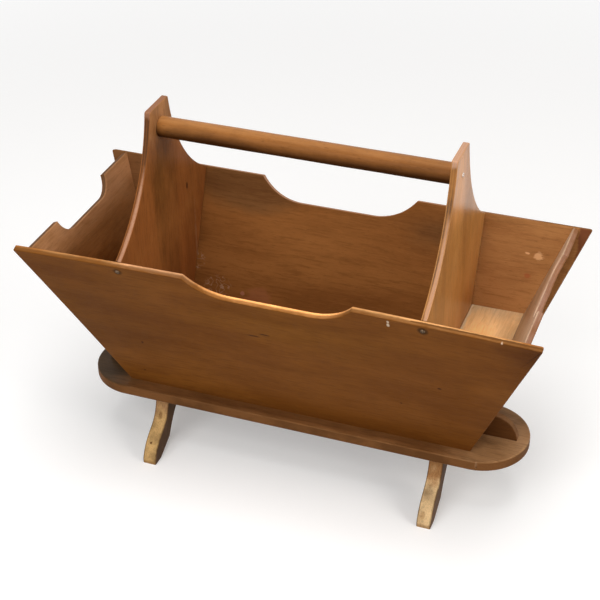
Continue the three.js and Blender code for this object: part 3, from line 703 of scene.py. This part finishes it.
bpy.data.objects.remove(pattern)

# Bottom board and raised floors: unfinished pale boards. The bottom board closes the middle
# compartment, and each end compartment has its own raised floor wedged between the walls.
DIVIDER_THICKNESS = 6 * MM
BOTTOM_THICKNESS = 9 * MM
FLOOR_THICKNESS = 6 * MM
FLOOR_HEIGHT = 100.8 * MM
FLOOR_STOCK = {"bottom": (0.0, -0.8, 0.0), "right": (0.0, 0.023, 0.0), "left": (0.0, 0.325, 0.0)}
# An outline far from every floor, so that none of their edges counts as worn
NO_WORN_EDGE = [(-1, -1), (1, -1)]

floor_tones = (srgb(222, 168, 110), srgb(240, 193, 134), srgb(250, 212, 160))
# Painted light and wear on the pale boards: a painted sheen in the middle of the right floor, painted shade
# along its right and back edges, and a pale worn line where it meets the divider
floor_painted_light_and_wear = [
    wash((0.012, 0.17, 0), (0.05, 0.026, 0.1), (1.5, 1.42, 1.2), 0.4, 60),
    wash((0, 0.208, 0), (0.12, 0.02, 0.1), (0.5, 0.56, 0.66), 0.4, 60),
    wash((0.08, 0.177, 0), (0.035, 0.08, 0.1), (0.7, 0.8, 1.0), 0.6, 60, 0.2),
    spot((0, 0.1508, 0), (0.12, 0.0036, 0.1), srgb(226, 200, 162), 0.8, 0.9, 200),
]
pale_wood = wood("pale_wood", floor_tones, srgb(206, 160, 112), FLOOR_THICKNESS, FLOOR_STOCK["right"],
                 pore_depth=0.3, streak=0.5, gloss=0.35, shine=0.3, marks=floor_painted_light_and_wear)
end_inner_foot = end_foot - PLY / math.cos(end_lean) - GAP / math.cos(end_lean)
floor_start = (DIVIDER_SPACING + DIVIDER_THICKNESS) / 2 + GAP


def square_board(name, x_low, x_high, thickness):
    """A board sawn square, as wide as the trough's rim."""
    outline = [(x_low, -end_half), (x_high, -end_half), (x_high, end_half), (x_low, end_half)]
    return sawn_board(name, outline, thickness, 0)


def lay_floor(piece, place, stock, node):
    """Lays a board level between the walls, scribes it to every leaning one, and gives it its pale wood."""
    settle(piece, place)
    for sign in (-1, 1):
        outwards = (sign * math.cos(end_lean), 0, -math.sin(end_lean))
        trim(piece, (sign * end_inner_foot, 0, PLINTH_TOP), outwards)
    for block in scribes:
        cut_away(piece, block, keep=True)
    mark_grain(piece, NO_WORN_EDGE, MM, stock, place, along="Y")
    smooth(piece)
    hand_over(piece, pale_wood, "pale_wood", node)


bottom_place = Matrix.Translation((0, 0, PLINTH_TOP + BOTTOM_THICKNESS))
floor_place = Matrix.Translation((0, 0, PLINTH_TOP + FLOOR_HEIGHT))
trough_end = TROUGH_LENGTH / 2
bottom = square_board("bottom_board_laid", -trough_end, trough_end, BOTTOM_THICKNESS)
right_floor = square_board("right_floor", floor_start, trough_end, FLOOR_THICKNESS)
left_floor = copied(right_floor, "left_floor")
settle(left_floor, Matrix.Rotation(math.pi, 4, "Z"))
lay_floor(bottom, bottom_place, FLOOR_STOCK["bottom"], "bottom_board")
lay_floor(right_floor, floor_place, FLOOR_STOCK["right"], "right_compartment_floor")
lay_floor(left_floor, floor_place, FLOOR_STOCK["left"], "left_compartment_floor")
for block in scribes:
    bpy.data.objects.remove(block)

# Dividers: plywood boards set across the trough with upright grain, wide below and swept up by a
# hollow curve to a narrow top that carries the handle. Screwed through the long panels.
DIVIDER_TOP_WIDTH = 40 * MM
DIVIDER_CORNER = 2.5 * MM
FLANK_RADIUS = 158 * MM
HANDLE_HEIGHT = 279.6 * MM
RISE_OVER_HANDLE = 23 * MM


def inner_face_point(x, share, allowance):
    """Point on a long panel's inner face, in the plane across the trough at x."""
    depth = PLY + allowance + bow_at(x, share)
    up = slope * share
    return Vector((side_foot + up * math.sin(side_lean) - depth * math.cos(side_lean),
                   up * math.cos(side_lean) + depth * math.sin(side_lean)))


def divider_outline():
    """Up the wall's inner face, round the hollow flank and over the narrow top."""
    face = (DIVIDER_SPACING - DIVIDER_THICKNESS) / 2
    low = inner_face_point(face, 0, GAP)
    rim = inner_face_point(face, 1, GAP)
    foot = low.lerp(rim, (BOTTOM_THICKNESS - low.y) / (rim.y - low.y))
    top = Vector((DIVIDER_TOP_WIDTH / 2, HANDLE_HEIGHT + RISE_OVER_HANDLE))
    chord = top - rim
    rise = math.sqrt(FLANK_RADIUS ** 2 - chord.length_squared / 4)
    centre = (rim + top) / 2 + Vector((chord.y, -chord.x)).normalized() * rise
    start = math.degrees(math.atan2(rim.y - centre.y, rim.x - centre.x)) % 360
    stop = math.degrees(math.atan2(top.y - centre.y, top.x - centre.x)) % 360
    stop += math.degrees(DIVIDER_CORNER / FLANK_RADIUS)
    flank = arc(centre, FLANK_RADIUS, start, stop, steps=20)
    over = (top.x - DIVIDER_CORNER, top.y)
    return both_halves([tuple(foot)] + flank + bend(flank[-1], tuple(top), over, steps=6)[1:])


divider_looks = {
    "left": (0.015, (srgb(130, 78, 38), srgb(160, 96, 48), srgb(176, 112, 58)), srgb(156, 114, 90), [
        wash((0.2, -0.008, 0), (0.17, 0.022, 0.003), (0.72, 0.75, 0.74), 0.7, 80),
        wash((0.24, -0.005, 0), (0.05, 0.04, 0.003), (0.85, 0.88, 0.84), 0.7, 80),
        wash((0.3, 0, 0), (0.04, 0.06, 0.003), (1.5, 2.0, 3.0), 0.5, 60, 0.3),
        spot((0.19, 0.0504, 0), (0.005, 0.0022, 0.002), srgb(66, 36, 20), 0.9, 0.4, 300),
        spot((0.11, 0.0655, 0), (0.06, 0.0022, 0.003), srgb(168, 130, 100), 0.35, 1.6, 300)]),
    # Painted light: the right divider has lighter tones than the left for the light it catches from the
    # right, and a painted sheen near its top
    "right": (0.4, (srgb(162, 107, 53), srgb(194, 134, 69), srgb(208, 149, 85)), srgb(196, 154, 130), [
        spot((0.09, 0.062, 0), (0.05, 0.003, 0.003), srgb(196, 158, 122), 0.6, 1.2, 200),
        wash((0.27, 0, 0), (0.05, 0.05, 0.003), (1.45, 1.45, 1.65), 0.5, 40, 0.4)]),
}
rubbed_flank = spot((0.2, -0.075, -0.0018), (0.08, 0.08, 0.0026), srgb(180, 136, 110), 0.9, 0.4, 60)
flank_outline = divider_outline()
pattern = sawn_board("divider_pattern", flank_outline, DIVIDER_THICKNESS, PLY_EASING)
for side, sign in (("left", -1), ("right", 1)):
    shine, tones, top_edge, marks = divider_looks[side]
    stock = (0.9 * sign, 0.3, 0.0)
    rubbed_top = spot((0.3025, 0, -0.003), (0.009, 0.05, 0.02), top_edge, 0.85, 0.6, 90, core=0.6)
    divider_ply = wood(f"{side}_divider_plywood", tones, srgb(84, 56, 38), DIVIDER_THICKNESS, stock,
                       plies=PLIES, streak=0.5, gloss=0.36, shine=shine, marks=marks,
                       edge_marks=[rubbed_top, rubbed_flank], outer=(0.0, 0.4), inner=(0.6, 1.2))
    board = copied(pattern, f"{side}_divider_board")
    standing = across_place((sign * DIVIDER_SPACING + DIVIDER_THICKNESS) / 2, PLINTH_TOP)
    settle(board, standing)
    mark_grain(board, flank_outline, PLY_WEAR, stock, standing, along="Y")
    smooth(board)
    hand_over(board, divider_ply, "divider_plywood", f"{side}_divider")
bpy.data.objects.remove(pattern)

# Handle: a turned dowel fixed between the dividers by a screw in each end. Honey brown varnish,
# with painted shade along its underside and where it meets the dividers, and a painted highlight along its
# top.
HANDLE_DIAMETER = 20.4 * MM
HANDLE_HALF = (DIVIDER_SPACING - DIVIDER_THICKNESS) / 2
HANDLE_STEPS = 40
HANDLE_UNEVEN = 0.012
HANDLE_RIPPLE = Vector((22, 40, 40))
HANDLE_WEAR = 3 * MM
HANDLE_STOCK = (2.1, 0.1, 0.02)
# A thickness that no dowel reaches, so that none of it counts as a sawn edge
NO_SAWN_EDGE = 10

deselect()
bpy.ops.mesh.primitive_cylinder_add(vertices=72, radius=HANDLE_DIAMETER / 2, depth=2 * HANDLE_HALF,
                                    end_fill_type="NGON", rotation=(0, math.pi / 2, 0))
handle = bpy.context.object
handle.name = "handle_dowel"
settle(handle)
bpy.ops.object.mode_set(mode="EDIT")
select_faces(handle, lambda face: abs(face.normal.x) > FLAT)
bpy.ops.mesh.bevel(offset=MM, segments=3, affect="EDGES")
bpy.ops.object.mode_set(mode="OBJECT")
slice_board(handle, 0, [HANDLE_HALF * (2 * step / HANDLE_STEPS - 1) for step in range(1, HANDLE_STEPS)])
for vertex in handle.data.vertices:
    swell = 1 - HANDLE_UNEVEN + HANDLE_UNEVEN * noise.noise(vertex.co * HANDLE_RIPPLE)
    vertex.co.y *= swell
    vertex.co.z *= swell
handle_place = Matrix.Translation((0, 0, PLINTH_TOP + HANDLE_HEIGHT))
settle(handle, handle_place)
worn_end = [(-HANDLE_HALF, 0), (-HANDLE_HALF, MM)]
mark_grain(handle, worn_end, HANDLE_WEAR, HANDLE_STOCK, handle_place)
smooth(handle)
# Painted shade along the underside, a painted highlight along the top, and painted shade at both ends
handle_painted_light = [
    wash((0, -0.007, -0.009), (2, 0.018, 0.018), (0.2, 0.17, 0.16), 0.3, 30, 0.2),
    wash((0, 0, 0.0102), (2, 0.01, 0.007), (1.3, 1.45, 1.8), 0.4, 60, 0.3),
]
for end in (-HANDLE_HALF, HANDLE_HALF):
    handle_painted_light.append(wash((end, 0, -0.006), (0.007, 0.016, 0.016), (0.3, 0.3, 0.34), 0.3, 60, 0.3))
handle_tones = (srgb(122, 74, 34), srgb(148, 94, 46), srgb(160, 106, 54))
handle_wood = wood("handle_wood", handle_tones, srgb(130, 84, 46), NO_SAWN_EDGE, HANDLE_STOCK, streak=0.32,
                   gloss=0.4, shine=0.12, marks=handle_painted_light)
hand_over(handle, handle_wood, "handle_wood", "handle")

# Screws: round heads with a slot, one through each long panel into each divider's edge and one through
# each divider into the handle's end. The first four have gone brown, and the last two are rubbed bright.
ROUND_HEAD = 4.8 * MM
ROUND_RISE = 1.5 * MM
SHANK = 2.8 * MM
POINT = 4 * MM
SLOT = 0.9 * MM
DIVIDER_SCREW = 19 * MM
HANDLE_SCREW = 32 * MM
SPECKS = 900
SPECK_RELIEF = 0.05 * MM
SLOT_TURNS = {("front", "left"): 20, ("front", "right"): -35, ("back", "left"): 65, ("back", "right"): 5}
HANDLE_SLOT_TURN = 40


def steel_finish(name, bright, dull, low, high):
    """Steel with specks of rust or dirt, and the roughness between low and high."""
    f = Finish(name)
    specks = f.noise(f.node("TexCoord", {}, "Object"), SPECKS, 4.0, 0.6)
    tone = f.mix(f.span(specks, 0.4, 0.7), bright, dull)
    return f.finish(tone, f.span(specks, 0.3, 0.7, low, high), specks, SPECK_RELIEF, Metallic=0.8)


def round_screw(length):
    """A round-head wood screw with its axis along z and its head's seat at z = 0."""
    dome = ((ROUND_HEAD / 2) ** 2 + ROUND_RISE ** 2) / (2 * ROUND_RISE)
    deselect()
    bpy.ops.mesh.primitive_uv_sphere_add(segments=32, ring_count=40, radius=dome,
                                         location=(0, 0, ROUND_RISE - dome))
    head = bpy.context.object
    settle(head)
    trim(head, (0, 0, 0), (0, 0, -1))
    deselect()
    bpy.ops.mesh.primitive_cube_add(size=1, location=(0, 0, ROUND_RISE),
                                    scale=(2 * ROUND_HEAD, SLOT, 2 * SLOT))
    cut_away(head, bpy.context.object)
    deselect()
    bpy.ops.mesh.primitive_cylinder_add(vertices=24, radius=SHANK / 2, depth=length - POINT,
                                        location=(0, 0, (POINT - length) / 2))
    shank = bpy.context.object
    settle(shank)
    bpy.ops.object.mode_set(mode="EDIT")
    select_faces(shank, lambda face: face.normal.z < -FLAT)
    bpy.ops.mesh.extrude_region_move(TRANSFORM_OT_translate={"value": (0, 0, -POINT)})
    bpy.ops.mesh.merge(type="CENTER")
    select_faces(shank, lambda face: face.normal.z > FLAT)
    bpy.ops.transform.translate(value=(0, 0, GAP))
    bpy.ops.object.mode_set(mode="OBJECT")
    use_modifier(head, "BOOLEAN", operation="UNION", solver="MANIFOLD", object=shank)
    bpy.data.objects.remove(shank)
    return head


def drive(pattern, name, seat, turn, finish, node):
    """Copies a screw to its seat, its slot left at some turn."""
    screw = copied(pattern, name)
    settle(screw, seat @ Matrix.Rotation(math.radians(turn), 4, "Z"))
    smooth(screw)
    hand_over(screw, finish, "aged_steel", node)


brown_steel = steel_finish("brown_steel", srgb(112, 92, 72), srgb(62, 46, 32), 0.35, 0.7)
bright_steel = steel_finish("bright_steel", srgb(236, 226, 218), srgb(170, 150, 134), 0.25, 0.5)
pattern = round_screw(DIVIDER_SCREW)
for (side, end), turn in SLOT_TURNS.items():
    facing = 0.0 if side == "front" else math.pi
    x = (1 if (side == "front") == (end == "right") else -1) * DIVIDER_SPACING / 2
    surface = Matrix.Translation((x, screw_up, -bow_at(x, screw_up / slope)))
    seat = wall_place(facing, side_foot, side_lean) @ surface
    drive(pattern, f"{side}_{end}_round_head", seat, turn, brown_steel, f"divider_screw_{side}_{end}")
bpy.data.objects.remove(pattern)
pattern = round_screw(HANDLE_SCREW)
for end, sign in (("left", -1), ("right", 1)):
    face = sign * (DIVIDER_SPACING + DIVIDER_THICKNESS) / 2
    seat = (Matrix.Translation((face, 0, PLINTH_TOP + HANDLE_HEIGHT))
            @ Matrix.Rotation(sign * math.pi / 2, 4, "Y"))
    drive(pattern, f"{end}_handle_round_head", seat, sign * HANDLE_SLOT_TURN, bright_steel,
          f"handle_screw_{end}")
bpy.data.objects.remove(pattern)

# Hidden fixings: flat-head screws that hold plinth and feet, and thin pins punched into the panels'
# joints. Dulled steel, kept as the solids have them.
aged_steel = steel_finish("aged_steel", srgb(96, 84, 70), srgb(58, 44, 32), 0.35, 0.7)
for name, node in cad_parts.items():
    if name.startswith(("plinth_screw", "foot_screw", "end_pin", "bottom_pin")):
        node.data.materials.clear()
        node.data.materials.append(aged_steel)

# Floor and light: a plain pale floor that runs into a white surround, a soft lamp at the right, a broader
# one in front, one overhead, and the camera where the basket was seen from.
FLOOR_SIZE = 12
# The camera sees the pale colour, and light bounces off a darker, warmer one
FLOOR_COLOUR = (0.86, 0.85, 0.84, 1)
FLOOR_BOUNCE = (0.40, 0.36, 0.30, 1)
FLOOR_GLOW = 0.2
FADE_START = 0.5
FADE_END = 2.0
WHITE = (1, 1, 1, 1)
BLACK = (0, 0, 0, 1)
SURROUND_LIGHT = 0.28
LAMP_AIM = (0, 0, 0.15)


def seen_rays(tree):
    """An output that is 1 where the camera looks, also by a gloss or through glass, and 0 for light."""
    rays = tree.nodes.new("ShaderNodeLightPath")
    seen = rays.outputs["Is Camera Ray"]
    for kind in ("Is Glossy Ray", "Is Transmission Ray"):
        either = tree.nodes.new("ShaderNodeMath")
        either.operation = "MAXIMUM"
        tree.links.new(seen, either.inputs[0])
        tree.links.new(rays.outputs[kind], either.inputs[1])
        seen = either.outputs[0]
    return seen


def lamp(name, place, target, size, power, colour=(1, 1, 1)):
    """A square soft lamp that faces a point."""
    bpy.ops.object.light_add(type="AREA", location=place)
    light = bpy.context.object
    light.name = name
    light.data.size = size
    light.data.energy = power
    light.data.color = colour
    light.rotation_euler = (Vector(target) - Vector(place)).to_track_quat("-Z", "Y").to_euler()


deselect()
bpy.ops.mesh.primitive_plane_add(size=FLOOR_SIZE, location=(0, 0, 0))
ground = bpy.context.object
ground.name = "pale_floor"
floor_look = Finish("pale_floor")
seen = seen_rays(floor_look.tree)
away = floor_look.length(floor_look.node("TexCoord", {}, "Object"))
pale = floor_look.mix(floor_look.span(away, FADE_START, FADE_END), FLOOR_COLOUR, BLACK)
glow = floor_look.span(away, FADE_START, FADE_END, FLOOR_GLOW, 1.0)
floor_look.feed(floor_look.shader.inputs["Base Color"], floor_look.mix(seen, FLOOR_BOUNCE, pale))
floor_look.feed(floor_look.shader.inputs["Emission Strength"], floor_look.math("MULTIPLY", seen, glow))
floor_look.feed(floor_look.shader.inputs["Emission Color"], WHITE)
floor_look.feed(floor_look.shader.inputs["Roughness"], 0.9)
ground.data.materials.append(floor_look.material)

world = bpy.data.worlds.new("surround")
bpy.context.scene.world = world
world.use_nodes = True
tree = world.node_tree
strength = tree.nodes.new("ShaderNodeMix")
strength.data_type = "FLOAT"
strength.inputs[2].default_value = SURROUND_LIGHT
strength.inputs[3].default_value = 1.0
tree.links.new(seen_rays(tree), strength.inputs[0])
background = tree.nodes["Background"]
background.inputs["Color"].default_value = WHITE
tree.links.new(strength.outputs[0], background.inputs["Strength"])

lamp("window_light", (1.9, -0.5, 1.2), (0.05, 0, 0.15), size=1.0, power=16, colour=(1.0, 0.98, 0.95))
lamp("room_light", (-0.3, -1.9, 1.5), LAMP_AIM, size=1.6, power=27)
lamp("ceiling_light", (0.1, -0.2, 2.2), LAMP_AIM, size=1.4, power=25)

CAMERA_PLACE = (0.431966, -1.156484, 0.995675)
CAMERA_RIGHT = Vector((0.937678, 0.347341, -0.010692))
CAMERA_UP = Vector((-0.181370, 0.515406, 0.837533))
CAMERA_AHEAD = Vector((-0.296420, 0.783397, -0.546282))
FOCAL_PIXELS = 1508.0
PICTURE_WIDTH = 600
SENSOR = 36
bpy.ops.object.camera_add(location=CAMERA_PLACE)
camera = bpy.context.object
camera.name = "view"
camera.data.sensor_width = SENSOR
camera.data.lens = SENSOR * FOCAL_PIXELS / PICTURE_WIDTH
camera.matrix_world = (Matrix.Translation(CAMERA_PLACE)
                       @ Matrix((CAMERA_RIGHT, CAMERA_UP, -CAMERA_AHEAD)).transposed().to_4x4())
bpy.context.scene.camera = camera
bpy.context.scene.view_settings.view_transform = "Standard"
